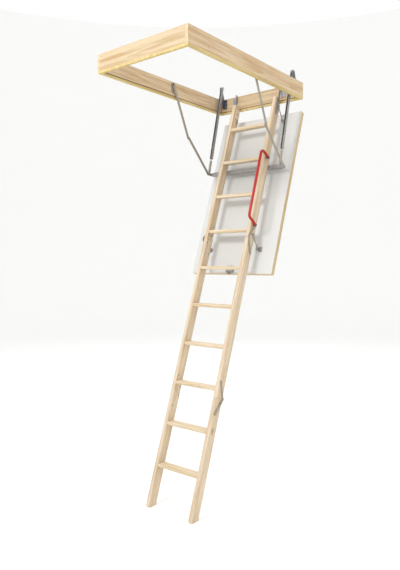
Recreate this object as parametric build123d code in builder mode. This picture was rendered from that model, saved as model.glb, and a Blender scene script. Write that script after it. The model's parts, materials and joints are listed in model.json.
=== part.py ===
from build123d import *
import os
from math import acos, atan2, cos, degrees, hypot, radians, sin, tan

# Folding attic ladder: a boxed hatch frame that is let into a ceiling, a counterbalanced hatch, and a
# three-section timber ladder that unfolds to the floor of the room below.
#
# Frame: millimetres. The origin is the middle of the frame's opening in the ceiling plane, which is the
# underside of the frame. +X runs from the hinge end to the free end, +Y to the handrail's side, +Z up.
# Ladder places are given as (along, front): the distance down the slope from the ceiling plane, and the
# distance in front of the stiles' front faces, so the stiles fill front = -stile_depth to 0.

# ---- driving dimensions -------------------------------------------------------------------------------
# hatch frame
frame_length = 1240.0
frame_width = 700.0
frame_height = 112.0
wall = 18.0
lip_height = 14.0
gasket_height = 4.0
gasket_sunk = 2.0
gasket_proud = 1.5
joist_hole_radius = 3.0
joist_hole_spacing_x = 900.0
joist_hole_spacing_z = 50.0
joist_hole_middle = 66.0
corner_screw_radius = 2.0

# hatch
hatch_thickness = 36.0
hatch_gap = 2.0
hatch_hinge_gap = 5.0
hatch_skin = 3.0
hatch_edge = 40.0
hatch_open_top = 32.0
hatch_open_back = 27.7

# ladder
slope = radians(70.4)
room_height = 2656.0
first_tread_drop = 150.0
rise = 250.0
tread_counts = (4, 4, 2)
tread_thickness = 22.0
tread_depth = 60.0
tread_housing = 6.0
tread_edge = 4.0
stile_depth = 65.0
stile_thickness = 25.0
inner_width = 320.0
top_end = -40.0
top_bevel = 40.0
top_bevel_front = 47.0
foot_bevel = 12.0
joint_below_tread = 32.0
joint_gap = 1.0

# main pivot, from the hinge-end wall's outer face and the ceiling plane
pivot_inset = 27.0
pivot_height = 114.0
pivot_behind_front = 21.3

# steelwork
plate = 3.0
side_gap = 0.2
pin_radius = 4.0
pin_clearance = 0.06
bolt_radius = 3.0
head_radius = 6.0
head_height = 2.5
leaf_width = 15.0
leaf_pin_offset = 3.0
leaf_reach = 100.0
leaf_pad_start = 24.0
leaf_near_bolt = 32.0
link_offset = 8.0
link_thickness = 4.0
link_width = 12.0
link_pin_height = 22.0
crossbar_along = 480.0
crossbar_width = 28.0
crossbar_depth = 22.0
crossbar_half = 309.0
crossbar_sheet = 2.5
stay_pivot_inset = 590.0
stay_pivot_height = 92.0
stay_width = 20.0
stay_upper_length = 371.0
stay_lower_length = 318.6
arm_depth = 20.0
arm_width = 16.0
arm_sheet = 2.0
arm_middle = 299.0
arm_length = 560.0
arm_stop = 470.0
arm_pivot_inset = 62.0
arm_pivot_height = 181.0
spring_length = 260.0
rod_block_length = 90.0
rod_block_depth = 15.0
rod_block_width = 11.0
rod_radius = 2.5
handrail_radius = 9.0
handrail_bow = 70.0
handrail_bend = 26.0

os.makedirs("parts", exist_ok=True)

# ---- derived places -----------------------------------------------------------------------------------
SIDES = (("left", -1), ("right", 1))
hinge_face = -frame_length / 2
opening_length = frame_length - 2 * wall
opening_width = frame_width - 2 * wall
outer_width = inner_width + 2 * stile_thickness
stile_inner = inner_width / 2
stile_outer = outer_width / 2

pivot_x = hinge_face + pivot_inset
pivot_z = pivot_height
front_x = pivot_x + (pivot_behind_front + pivot_z * cos(slope)) / sin(slope)


def ladder_xz(along, front):
    """World x and z of a ladder place."""
    x = front_x + along * cos(slope) + front * sin(slope)
    z = -along * sin(slope) + front * cos(slope)
    return x, z


def ladder_place(x, z):
    """Ladder place (along, front) of a world point."""
    along = (x - front_x) * cos(slope) - z * sin(slope)
    front = (x - front_x) * sin(slope) + z * cos(slope)
    return along, front


def ladder_side(y):
    """Plane across the ladder at y. Local X runs down the slope, local Y out to the front."""
    return Plane(origin=(front_x, y, 0), x_dir=(cos(slope), 0, -sin(slope)), z_dir=(0, -1, 0))


def ladder_face(front):
    """Plane along the ladder at a front distance. Local X is +Y, local Y runs up the slope."""
    x, z = ladder_xz(0, front)
    return Plane(origin=(x, 0, z), x_dir=(0, 1, 0), z_dir=(sin(slope), 0, cos(slope)))


def upright_side(y):
    """Upright plane at y. Local X is +X and local Y is +Z."""
    return Plane(origin=(0, y, 0), x_dir=(1, 0, 0), z_dir=(0, -1, 0))


def start_of(side, inner, outer):
    """The y where a plate lying inner to outer from the middle starts, as extrusions run to -Y."""
    return outer if side > 0 else -inner


def ladder_spot(side, place, inner, outer):
    """Place on the ladder of a cross pin that lies inner to outer from the middle."""
    return ladder_side(start_of(side, inner, outer)).location * Location((place[0], place[1], 0))


def upright_spot(side, point, inner, outer):
    """Place on the frame of a cross pin that lies inner to outer from the middle."""
    return upright_side(start_of(side, inner, outer)).location * Location((point[0], point[1], 0))


def between(a, b):
    """Middle, length and direction in degrees of the line from a to b."""
    middle = ((a[0] + b[0]) / 2, (a[1] + b[1]) / 2)
    return middle, hypot(b[0] - a[0], b[1] - a[1]), degrees(atan2(b[1] - a[1], b[0] - a[0]))


def on_line(a, b, distance):
    """The point that lies a distance from a towards b."""
    share = distance / hypot(b[0] - a[0], b[1] - a[1])
    return (a[0] + share * (b[0] - a[0]), a[1] + share * (b[1] - a[1]))


def finish(piece, name):
    """Labels one finished piece and writes it."""
    piece.part.label = name
    export_step(piece.part, f"parts/{name}.step")


pin_hole = pin_radius + pin_clearance
centred = (Align.CENTER, Align.CENTER, Align.MIN)
pivot = ladder_place(pivot_x, pivot_z)

# The section joints lie a little below the last tread of the section above.
tread_tops = [-first_tread_drop - rise * k for k in range(sum(tread_counts))]
upper_joint = (-(tread_tops[tread_counts[0] - 1] - tread_thickness - joint_below_tread)) / sin(slope)
last_middle = tread_counts[0] + tread_counts[1] - 1
lower_joint = (-(tread_tops[last_middle] - tread_thickness - joint_below_tread)) / sin(slope)
foot_front = room_height / sin(slope)
foot_back = (room_height - stile_depth * cos(slope)) / sin(slope)
upper_fold = (upper_joint, leaf_pin_offset)
lower_fold = (lower_joint, -stile_depth - leaf_pin_offset)

# Places of the hatch on the ladder when it is shut. The links that carry it are all alike, so their
# slant when open follows from their slant when shut and from how far the hatch shifts between the two.
shut_shift = pivot_inset - pivot[0]
shut_hatch_top = wall + hatch_hinge_gap - shut_shift
shut_hatch_face = hatch_thickness - pivot_height - pivot_behind_front
hatch_face = shut_hatch_face - hatch_open_back
hatch_drop = hatch_open_top - shut_hatch_top
hatch_length = opening_length - hatch_hinge_gap - hatch_gap
hatch_width = opening_width - 2 * hatch_gap
link_bolt_front = -40.0
link_shut_front = shut_hatch_face + link_pin_height - link_bolt_front
link_shut_along = (
    2 * link_shut_front * hatch_open_back - hatch_drop**2 - hatch_open_back**2
) / (2 * hatch_drop)
link_along = link_shut_along + hatch_drop
link_front = link_shut_front - hatch_open_back
upper_link_bolt = (20.0, link_bolt_front)
lower_link_bolt = (upper_joint - 28.0, link_bolt_front)
link_inner = stile_outer + link_offset
link_outer = link_inner + link_thickness
bracket_inner = link_outer + 1.0

# Cross pins at the crossbar's ends: one for the spring rod and one for the folding stay.
rod_pin = (crossbar_along, -30.0)
stay_pin = (crossbar_along + 7.0, -43.0)
lug_inner = crossbar_half
lug_outer = lug_inner + plate
lower_stay_inner = lug_outer + 2.0
lower_stay_outer = lower_stay_inner + link_thickness
upper_stay_inner = lower_stay_outer + 2.0
upper_stay_outer = upper_stay_inner + link_thickness
wall_inner = opening_width / 2

# Fold places of the two-part stays at rest: the knee stands in front of the line between their ends.
stay_foot = ladder_xz(*stay_pin)
stay_head = (hinge_face + stay_pivot_inset, stay_pivot_height)
stay_span = hypot(stay_foot[0] - stay_head[0], stay_foot[1] - stay_head[1])
stay_line = atan2(stay_foot[1] - stay_head[1], stay_foot[0] - stay_head[0])
stay_corner = acos(
    (stay_upper_length**2 + stay_span**2 - stay_lower_length**2) / (2 * stay_upper_length * stay_span)
)
stay_direction = stay_line + stay_corner
stay_knee = (
    stay_head[0] + stay_upper_length * cos(stay_direction),
    stay_head[1] + stay_upper_length * sin(stay_direction),
)

# The spring arm hangs from its bracket and points at the rod's pin.
arm_pivot = (hinge_face + arm_pivot_inset, arm_pivot_height)
rod_end = ladder_xz(*rod_pin)
rod_reach = hypot(rod_end[0] - arm_pivot[0], rod_end[1] - arm_pivot[1])
arm_direction = atan2(rod_end[1] - arm_pivot[1], rod_end[0] - arm_pivot[0])


def arm_side(y):
    """Plane of a spring arm at y. Local X runs down the arm from its pivot, local Y to its front."""
    direction = (cos(arm_direction), 0, sin(arm_direction))
    return Plane(origin=(arm_pivot[0], y, arm_pivot[1]), x_dir=direction, z_dir=(0, -1, 0))


def arm_section(y, along):
    """Plane across a spring arm's length. Local X is +Y."""
    direction = (cos(arm_direction), 0, sin(arm_direction))
    x = arm_pivot[0] + along * cos(arm_direction)
    z = arm_pivot[1] + along * sin(arm_direction)
    return Plane(origin=(x, y, z), x_dir=(0, 1, 0), z_dir=direction)


# ---- hatch frame --------------------------------------------------------------------------------------
# Long boards run the full length and take the screws into the ceiling joists. A shallow rebate along
# the lower inside edge of every board holds the gasket.
board_height = frame_height - lip_height
board_middle = lip_height + board_height / 2
screw_heights = (lip_height + 0.25 * board_height, lip_height + 0.75 * board_height)

for name, side in SIDES:
    with BuildPart() as long_wall:
        with BuildSketch(upright_side(start_of(side, wall_inner, wall_inner + wall))):
            with Locations((0, board_middle)):
                Rectangle(frame_length, board_height)
            with Locations((0, joist_hole_middle)):
                with GridLocations(joist_hole_spacing_x, joist_hole_spacing_z, 2, 2):
                    Circle(joist_hole_radius, mode=Mode.SUBTRACT)
            for end in (-1, 1):
                for height in screw_heights:
                    with Locations((end * (frame_length - wall) / 2, height)):
                        Circle(corner_screw_radius, mode=Mode.SUBTRACT)
        extrude(amount=wall)
        with BuildSketch(Plane.XY.offset(lip_height)):
            Rectangle(opening_length + 2 * gasket_sunk, opening_width + 2 * gasket_sunk)
        extrude(amount=gasket_height, mode=Mode.SUBTRACT)
    finish(long_wall, f"wall_{name}")

strike_width = 40.0
strike_height = 24.0
strike_thickness = 2.0
latch_front = hatch_face + 9.0
latch_bolt_height = hatch_thickness + (latch_front - hatch_face)
bolt_width = 20.0
bolt_thickness = 8.0
bolt_throw = 10.0
bolt_slack = 1.0

for name, end in (("hinge_end", -1), ("free_end", 1)):
    with BuildPart() as short_wall:
        with BuildSketch(Plane.XY.offset(lip_height)):
            with Locations((end * (frame_length - wall) / 2, 0)):
                Rectangle(wall, opening_width)
        extrude(amount=board_height)
        with BuildSketch(Plane.XY.offset(lip_height)):
            Rectangle(opening_length + 2 * gasket_sunk, opening_width)
        extrude(amount=gasket_height, mode=Mode.SUBTRACT)
        if end > 0:
            with BuildSketch(Plane.YZ.offset(opening_length / 2)):
                with Locations((0, latch_bolt_height)):
                    Rectangle(strike_width, strike_height)
            extrude(amount=strike_thickness, mode=Mode.SUBTRACT)
            with BuildSketch(Plane.YZ.offset(opening_length / 2)):
                with Locations((0, latch_bolt_height)):
                    Rectangle(bolt_width + 2 * bolt_slack, bolt_thickness + 2 * bolt_slack)
            extrude(amount=bolt_throw + 4, mode=Mode.SUBTRACT)
        for side in (-1, 1):
            for height in screw_heights:
                spot = upright_spot(side, (end * (frame_length - wall) / 2, height), 0, wall_inner)
                with Locations(spot):
                    Cylinder(corner_screw_radius, wall_inner, align=centred, mode=Mode.SUBTRACT)
    finish(short_wall, f"wall_{name}")

with BuildPart() as corner_screws:
    # Two screws through each end of each long board, into the end boards.
    screw_length = 50.0
    for side in (-1, 1):
        for end in (-1, 1):
            for height in screw_heights:
                point = (end * (frame_length - wall) / 2, height)
                inner = wall_inner + wall - screw_length
                with Locations(upright_spot(side, point, inner, wall_inner + wall)):
                    Cylinder(corner_screw_radius, screw_length, align=centred)
finish(corner_screws, "corner_screws")

with BuildPart() as bottom_lip:
    # Four hardwood strips glued under the boards.
    for side in (-1, 1):
        with BuildSketch(Plane.XY):
            with Locations((0, side * (frame_width - wall) / 2)):
                Rectangle(frame_length, wall)
            with Locations((side * (frame_length - wall) / 2, 0)):
                Rectangle(wall, opening_width - 2 * joint_gap)
        extrude(amount=lip_height)
finish(bottom_lip, "bottom_lip")

with BuildPart() as hatch_gasket:
    with BuildSketch(Plane.XY.offset(lip_height)):
        Rectangle(opening_length + 2 * gasket_sunk, opening_width + 2 * gasket_sunk)
        Rectangle(opening_length - 2 * gasket_proud, opening_width - 2 * gasket_proud, mode=Mode.SUBTRACT)
    extrude(amount=gasket_height)
finish(hatch_gasket, "hatch_gasket")

with BuildPart() as strike_plate:
    with BuildSketch(Plane.YZ.offset(opening_length / 2)):
        with Locations((0, latch_bolt_height)):
            Rectangle(strike_width, strike_height)
            Rectangle(
                bolt_width + 2 * bolt_slack, bolt_thickness + 2 * bolt_slack, mode=Mode.SUBTRACT
            )
    extrude(amount=strike_thickness)
finish(strike_plate, "strike_plate")

# ---- steel brackets on the frame ----------------------------------------------------------------------
inner_face_x = hinge_face + wall
eye_radius = pivot_inset - wall - 0.5
strap_inner = stile_outer
strap_outer = strap_inner + plate
ear_inner = strap_outer + 0.3
ear_outer = ear_inner + plate
bracket_low = hatch_thickness + 4.0

ear_rise = 26.0
hinge_plate_width = 36.0
hinge_plate_height = 60.0

for name, side in SIDES:
    with BuildPart() as hinge_bracket:
        # Plate screwed to the hinge-end board, with an ear that carries the main pivot pin.
        with BuildSketch(upright_side(start_of(side, ear_inner, ear_outer))):
            with Locations((pivot_x, pivot_z)):
                Circle(eye_radius)
            with BuildLine():
                Polyline(
                    (inner_face_x, bracket_low + ear_rise),
                    (inner_face_x + plate, bracket_low + ear_rise),
                    (pivot_x + eye_radius, pivot_z),
                    (inner_face_x, pivot_z),
                    close=True,
                )
            make_face()
        extrude(amount=ear_outer - ear_inner)
        with BuildSketch(Plane.YZ.offset(inner_face_x)):
            with Locations((side * (ear_inner + hinge_plate_width / 2), bracket_low + hinge_plate_height / 2)):
                RectangleRounded(hinge_plate_width, hinge_plate_height, 6)
        extrude(amount=plate)
        with Locations(upright_spot(side, (pivot_x, pivot_z), ear_inner, ear_outer)):
            Cylinder(pin_radius, plate, align=centred, mode=Mode.SUBTRACT)
    finish(hinge_bracket, f"hinge_bracket_{name}")

arm_outer = arm_middle + arm_width / 2
arm_bracket_inner = arm_outer + 0.5
arm_bracket_outer = arm_bracket_inner + 2.5
arm_bracket_top = arm_pivot[1] + 10

for name, side in SIDES:
    with BuildPart() as arm_bracket:
        # Tall bracket that lifts the spring arm's pivot above the hinge-end board.
        with BuildSketch(upright_side(start_of(side, arm_bracket_inner, arm_bracket_outer))):
            with BuildLine():
                Polyline(
                    (inner_face_x, bracket_low),
                    (inner_face_x + 22, bracket_low),
                    (arm_pivot[0] + 12, arm_pivot[1] - 20),
                    (arm_pivot[0] + 12, arm_bracket_top),
                    (arm_pivot[0] - 14, arm_bracket_top),
                    (inner_face_x, frame_height - 6),
                    close=True,
                )
            make_face()
        extrude(amount=arm_bracket_outer - arm_bracket_inner)
        with BuildSketch(Plane.YZ.offset(inner_face_x)):
            flange_height = frame_height - 6 - bracket_low
            with Locations((side * (arm_bracket_outer - 14), bracket_low + flange_height / 2)):
                Rectangle(28, flange_height)
        extrude(amount=plate)
        with Locations(upright_spot(side, arm_pivot, arm_bracket_inner, arm_bracket_outer)):
            Cylinder(pin_radius, 2.5, align=centred, mode=Mode.SUBTRACT)
    finish(arm_bracket, f"arm_bracket_{name}")

stay_bracket_plate = 3.5
stay_bracket_inner = wall_inner - stay_bracket_plate

for name, side in SIDES:
    with BuildPart() as stay_bracket:
        # Upright strip on the long board that carries the folding stay's upper pin.
        with BuildSketch(upright_side(start_of(side, stay_bracket_inner, wall_inner))):
            low = bracket_low + stay_width / 2
            with Locations((stay_head[0], (stay_head[1] + low) / 2)):
                SlotCenterToCenter(stay_head[1] - low, stay_width + 2, rotation=90)
        extrude(amount=stay_bracket_plate)
        with Locations(upright_spot(side, stay_head, stay_bracket_inner, wall_inner)):
            Cylinder(pin_radius, stay_bracket_plate, align=centred, mode=Mode.SUBTRACT)
    finish(stay_bracket, f"stay_bracket_{name}")

with BuildPart() as frame_pins:
    # Fixed pins: the main pivot, the spring arm's pivot and the stay's upper pivot on both sides.
    arm_inner = arm_middle - arm_width / 2
    for side in (-1, 1):
        with Locations(upright_spot(side, (pivot_x, pivot_z), stile_outer + 0.2, ear_outer)):
            Cylinder(pin_radius, ear_outer - stile_outer - 0.2, align=centred)
        with Locations(upright_spot(side, arm_pivot, arm_inner - 1.5, arm_bracket_outer)):
            Cylinder(pin_radius, arm_bracket_outer - arm_inner + 1.5, align=centred)
        with Locations(upright_spot(side, stay_head, upper_stay_inner - 1, wall_inner)):
            Cylinder(pin_radius, wall_inner - upper_stay_inner + 1, align=centred)
finish(frame_pins, "frame_pins")

# ---- ladder stiles and treads -------------------------------------------------------------------------
# Bolts that pass through the stiles, as places on the ladder with the outer end of each bolt.
strap_bolts = ((-24.0, -32.0), (66.0, -32.0))
link_bolts = (upper_link_bolt, lower_link_bolt)


def leaf_far_end(fold, way):
    """Far end of a hinge leaf that runs from its pin across to the stile's other edge."""
    across = -50.0 if fold[1] > 0 else -stile_depth + 50.0
    return (fold[0] + way * leaf_reach, across)


def leaf_bolts(fold, way):
    """The two bolts of one hinge leaf."""
    far = leaf_far_end(fold, way)
    return (on_line(fold, far, leaf_near_bolt), far)


section_bolts = (
    strap_bolts + leaf_bolts(upper_fold, -1),
    leaf_bolts(upper_fold, 1) + leaf_bolts(lower_fold, -1),
    leaf_bolts(lower_fold, 1),
)
section_starts = (top_end, upper_joint + joint_gap / 2, lower_joint + joint_gap / 2)
section_ends = (upper_joint - joint_gap / 2, lower_joint - joint_gap / 2, foot_front)
section_names = ("top", "middle", "bottom")


def tread_front(top):
    """World x of a tread's front face."""
    return front_x - top / tan(slope)


section_treads = []
next_tread = 0
for count in tread_counts:
    section_treads.append(range(next_tread, next_tread + count))
    next_tread += count

for section, section_name in enumerate(section_names):
    start = section_starts[section]
    end = section_ends[section]
    is_top = section == 0
    is_bottom = section == 2
    back_end = foot_back if is_bottom else end
    if is_top:
        bevel = [(start + top_bevel, -stile_depth), (start, -top_bevel_front)]
    else:
        bevel = [(start, -stile_depth)]
    outline = [(start, 0), (end, 0), (back_end, -stile_depth)] + bevel
    for name, side in SIDES:
        with BuildPart() as stile:
            with BuildSketch(ladder_side(start_of(side, stile_inner, stile_outer))):
                with BuildLine():
                    Polyline(*outline, close=True)
                make_face()
            extrude(amount=stile_thickness)
            if is_bottom:
                toe = (
                    stile.edges()
                    .filter_by(Axis.Y)
                    .sort_by(Axis.X)[-1]
                )
                chamfer(toe, length=foot_bevel)
            for index in section_treads[section]:
                top = tread_tops[index]
                with BuildSketch(upright_side(start_of(side, stile_inner, stile_inner + tread_housing))):
                    with Locations((tread_front(top) - tread_depth / 2, top - tread_thickness / 2)):
                        Rectangle(tread_depth, tread_thickness)
                extrude(amount=tread_housing, mode=Mode.SUBTRACT)
            for place in section_bolts[section]:
                with Locations(ladder_spot(side, place, stile_inner, stile_outer)):
                    Cylinder(bolt_radius, stile_thickness, align=centred, mode=Mode.SUBTRACT)
            if is_top:
                for place in link_bolts:
                    with Locations(ladder_spot(side, place, stile_inner, stile_outer)):
                        Cylinder(pin_radius, stile_thickness, align=centred, mode=Mode.SUBTRACT)
        finish(stile, f"stile_{section_name}_{name}")

for index, top in enumerate(tread_tops):
    half_tread = stile_inner + tread_housing
    with BuildPart() as tread:
        with BuildSketch(upright_side(half_tread)):
            with Locations((tread_front(top) - tread_depth / 2, top - tread_thickness / 2)):
                RectangleRounded(tread_depth, tread_thickness, tread_edge)
        extrude(amount=2 * half_tread)
    finish(tread, f"tread_{index + 1}")

# ---- top section's steelwork --------------------------------------------------------------------------
for name, side in SIDES:
    with BuildPart() as top_strap:
        # Flat strap that joins the stile to the main pivot pin.
        strap_low = (70.0, -32.0)
        strap_bend = (-20.0, -32.0)
        with BuildSketch(ladder_side(start_of(side, strap_inner, strap_outer))):
            middle, length, turn = between(pivot, strap_bend)
            with Locations(middle):
                SlotCenterToCenter(length, 2 * eye_radius, rotation=turn)
            middle, length, turn = between(strap_bend, strap_low)
            with Locations(middle):
                SlotCenterToCenter(length, 30, rotation=turn)
            with Locations(pivot):
                Circle(pin_hole, mode=Mode.SUBTRACT)
            with Locations(upper_link_bolt):
                Circle(pin_radius, mode=Mode.SUBTRACT)
            with Locations(*strap_bolts):
                Circle(bolt_radius, mode=Mode.SUBTRACT)
        extrude(amount=plate)
    finish(top_strap, f"top_strap_{name}")

with BuildPart() as crossbar:
    # Pressed channel across the back of the top section, with pinched ends.
    end_half_width = 8.0
    taper = 34.0
    with BuildSketch(ladder_face(-stile_depth)):
        with BuildLine():
            Polyline(
                (-crossbar_half, -crossbar_along - end_half_width),
                (-crossbar_half + taper, -crossbar_along - crossbar_width / 2),
                (crossbar_half - taper, -crossbar_along - crossbar_width / 2),
                (crossbar_half, -crossbar_along - end_half_width),
                (crossbar_half, -crossbar_along + end_half_width),
                (crossbar_half - taper, -crossbar_along + crossbar_width / 2),
                (-crossbar_half + taper, -crossbar_along + crossbar_width / 2),
                (-crossbar_half, -crossbar_along + end_half_width),
                close=True,
            )
        make_face()
    extrude(amount=-crossbar_depth)
    with BuildSketch(ladder_face(-stile_depth - crossbar_sheet)):
        with BuildLine():
            Polyline(
                (-crossbar_half + crossbar_sheet, -crossbar_along - end_half_width + crossbar_sheet),
                (-crossbar_half + taper, -crossbar_along - crossbar_width / 2 + crossbar_sheet),
                (crossbar_half - taper, -crossbar_along - crossbar_width / 2 + crossbar_sheet),
                (crossbar_half - crossbar_sheet, -crossbar_along - end_half_width + crossbar_sheet),
                (crossbar_half - crossbar_sheet, -crossbar_along + end_half_width - crossbar_sheet),
                (crossbar_half - taper, -crossbar_along + crossbar_width / 2 - crossbar_sheet),
                (-crossbar_half + taper, -crossbar_along + crossbar_width / 2 - crossbar_sheet),
                (-crossbar_half + crossbar_sheet, -crossbar_along + end_half_width - crossbar_sheet),
                close=True,
            )
        make_face()
    extrude(amount=-crossbar_depth, mode=Mode.SUBTRACT)
finish(crossbar, "crossbar")

rod_block_outer = arm_middle + rod_block_width / 2

for name, side in SIDES:
    with BuildPart() as crossbar_lug:
        # Plate welded to the crossbar's end, with a stud inwards beside the spring rod's end and a pin
        # outwards for the folding stay.
        lug_foot = (crossbar_along, -stile_depth - crossbar_depth + 8)
        with BuildSketch(ladder_side(start_of(side, lug_inner, lug_outer))):
            for head in (rod_pin, stay_pin):
                middle, length, turn = between(lug_foot, head)
                with Locations(middle):
                    SlotCenterToCenter(length, 16, rotation=turn)
        extrude(amount=plate)
        with Locations(ladder_spot(side, rod_pin, rod_block_outer + 0.5, lug_inner)):
            Cylinder(pin_radius, lug_inner - rod_block_outer - 0.5, align=centred)
        with Locations(ladder_spot(side, stay_pin, lug_outer, lower_stay_outer + 1)):
            Cylinder(pin_radius, lower_stay_outer + 1 - lug_outer, align=centred)
    finish(crossbar_lug, f"crossbar_lug_{name}")

with BuildPart() as link_pins:
    # Shouldered bolts through the top stiles, on which the hatch links turn.
    for side in (-1, 1):
        for place in link_bolts:
            with Locations(ladder_spot(side, place, stile_inner, link_outer + 1)):
                Cylinder(pin_radius, link_outer + 1 - stile_inner, align=centred)
            with Locations(ladder_spot(side, place, stile_inner - head_height, stile_inner)):
                Cylinder(head_radius, head_height, align=centred)
finish(link_pins, "link_pins")

handrail_middle = stile_outer + 9.0 + handrail_radius
handrail_top = (428.0, -34.0)
handrail_low = (upper_joint - 90.0, -38.0)

with BuildPart() as handrail:
    # Bowed steel tube on the right stile.
    with BuildLine(ladder_side(handrail_middle)) as rail_line:
        FilletPolyline(
            handrail_top,
            (handrail_top[0] - 14, handrail_bow + 3),
            (handrail_low[0] - 26, handrail_bow - 5),
            handrail_low,
            radius=handrail_bend,
        )
    with BuildSketch(Plane(origin=rail_line.line @ 0, z_dir=rail_line.line % 0)):
        Circle(handrail_radius)
    sweep()
finish(handrail, "handrail")

with BuildPart() as handrail_spacers:
    # Spacers between the stile and the handrail's ends.
    for place, toward in (
        (handrail_top, (handrail_top[0] - 14, handrail_bow + 3)),
        (handrail_low, (handrail_low[0] - 26, handrail_bow - 5)),
    ):
        spot = on_line(place, toward, 10.0)
        spacer_end = handrail_middle - handrail_radius
        with Locations(ladder_spot(1, spot, stile_outer, spacer_end)):
            Cylinder(head_radius, spacer_end - stile_outer, align=centred)
        with Locations(
            ladder_spot(1, spot, handrail_middle + handrail_radius, handrail_middle + handrail_radius + 3)
        ):
            Cylinder(head_radius, 3, align=centred)
finish(handrail_spacers, "handrail_spacers")

# ---- section hinges -----------------------------------------------------------------------------------
# Each hinge is a pair of bent leaves on the outer sides of the stiles. The upper leaf lies on its
# stile. The lower one stands outside it at the pin and is packed out where it is bolted on.
lower_leaf_inner = stile_outer + plate + side_gap
lower_leaf_outer = lower_leaf_inner + plate

for fold, name in ((upper_fold, "upper_hinge"), (lower_fold, "lower_hinge")):
    with BuildPart() as leaf_above:
        far = leaf_far_end(fold, -1)
        for side in (-1, 1):
            with BuildSketch(ladder_side(start_of(side, stile_outer, stile_outer + plate))):
                middle, length, turn = between(fold, far)
                with Locations(middle):
                    SlotCenterToCenter(length, leaf_width, rotation=turn)
                with Locations(fold):
                    Circle(pin_radius, mode=Mode.SUBTRACT)
                with Locations(*leaf_bolts(fold, -1)):
                    Circle(bolt_radius, mode=Mode.SUBTRACT)
            extrude(amount=plate)
    finish(leaf_above, f"{name}_leaf_above")

    with BuildPart() as leaf_below:
        far = leaf_far_end(fold, 1)
        pad_start = on_line(fold, far, leaf_pad_start + leaf_width / 2)
        for side in (-1, 1):
            with BuildSketch(ladder_side(start_of(side, lower_leaf_inner, lower_leaf_outer))):
                middle, length, turn = between(fold, far)
                with Locations(middle):
                    SlotCenterToCenter(length, leaf_width, rotation=turn)
            extrude(amount=plate)
            with BuildSketch(ladder_side(start_of(side, stile_outer, lower_leaf_inner))):
                middle, length, turn = between(pad_start, far)
                with Locations(middle):
                    SlotCenterToCenter(length, leaf_width, rotation=turn)
            extrude(amount=lower_leaf_inner - stile_outer)
            with Locations(ladder_spot(side, fold, lower_leaf_inner, lower_leaf_outer)):
                Cylinder(pin_hole, plate, align=centred, mode=Mode.SUBTRACT)
            for place in leaf_bolts(fold, 1):
                with Locations(ladder_spot(side, place, stile_outer, lower_leaf_outer)):
                    Cylinder(bolt_radius, lower_leaf_outer - stile_outer, align=centred, mode=Mode.SUBTRACT)
    finish(leaf_below, f"{name}_leaf_below")

# Through bolts of each section: a round head inside the stile and a nut over the leaf or strap. The
# rivets that the section below turns on are fixed in the same leaves.
outer_faces = (
    (strap_outer, strap_outer, strap_outer, strap_outer),
    (lower_leaf_outer, lower_leaf_outer, strap_outer, strap_outer),
    (lower_leaf_outer, lower_leaf_outer),
)
section_rivets = ((upper_fold,), (lower_fold,), ())
for section, section_name in enumerate(section_names):
    with BuildPart() as bolts:
        for side in (-1, 1):
            for fold in section_rivets[section]:
                with Locations(ladder_spot(side, fold, stile_outer, lower_leaf_outer + 1)):
                    Cylinder(pin_radius, lower_leaf_outer + 1 - stile_outer, align=centred)
            for place, outer in zip(section_bolts[section], outer_faces[section]):
                with Locations(ladder_spot(side, place, stile_inner, outer)):
                    Cylinder(bolt_radius, outer - stile_inner, align=centred)
                with Locations(ladder_spot(side, place, stile_inner - head_height, stile_inner)):
                    Cylinder(head_radius, head_height, align=centred)
                with Locations(ladder_spot(side, place, outer, outer + 1)):
                    Cylinder(head_radius - 1, 1, align=centred)
    finish(bolts, f"bolts_{section_name}")

# ---- hatch --------------------------------------------------------------------------------------------
hatch_start = hatch_open_top
hatch_end = hatch_open_top + hatch_length
hatch_middle = (hatch_start + hatch_end) / 2
core_thickness = hatch_thickness - 2 * hatch_skin

for name, front in (
    ("hatch_skin_inner", hatch_face),
    ("hatch_skin_outer", hatch_face - hatch_thickness + hatch_skin),
):
    with BuildPart() as skin:
        with BuildSketch(ladder_face(front)):
            with Locations((0, -hatch_middle)):
                Rectangle(hatch_width, hatch_length)
        extrude(amount=-hatch_skin)
    finish(skin, name)

with BuildPart() as hatch_edge_frame:
    # Four pine battens between the skins.
    for side in (-1, 1):
        with BuildSketch(ladder_face(hatch_face - hatch_skin)):
            with Locations((side * (hatch_width - hatch_edge) / 2, -hatch_middle)):
                Rectangle(hatch_edge, hatch_length)
            with Locations((0, -hatch_middle + side * (hatch_length - hatch_edge) / 2)):
                Rectangle(hatch_width - 2 * hatch_edge - 2 * side_gap, hatch_edge)
        extrude(amount=-core_thickness)
finish(hatch_edge_frame, "hatch_edge_frame")

with BuildPart() as hatch_core:
    # Insulating board that fills the batten frame.
    with BuildSketch(ladder_face(hatch_face - hatch_skin)):
        with Locations((0, -hatch_middle)):
            Rectangle(
                hatch_width - 2 * hatch_edge - 2 * side_gap, hatch_length - 2 * hatch_edge - 2 * side_gap
            )
    extrude(amount=-core_thickness)
finish(hatch_core, "hatch_core")

with BuildPart() as hatch_link_brackets:
    # Angle brackets on the hatch beside the four links' far ends, each with its pin's head.
    for side in (-1, 1):
        for bolt in link_bolts:
            pin = (bolt[0] + link_along, bolt[1] + link_front)
            with BuildSketch(ladder_face(hatch_face)):
                with Locations((side * (bracket_inner + 13), -pin[0])):
                    Rectangle(26, 36)
            extrude(amount=plate)
            with BuildSketch(ladder_side(start_of(side, bracket_inner, bracket_inner + plate))):
                with Locations((pin[0], (hatch_face + pin[1]) / 2)):
                    Rectangle(20, pin[1] - hatch_face)
                with Locations(pin):
                    Circle(10)
            extrude(amount=plate)
            with Locations(ladder_spot(side, pin, bracket_inner + plate, bracket_inner + plate + 2)):
                Cylinder(head_radius, 2, align=centred)
finish(hatch_link_brackets, "hatch_link_brackets")

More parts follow.
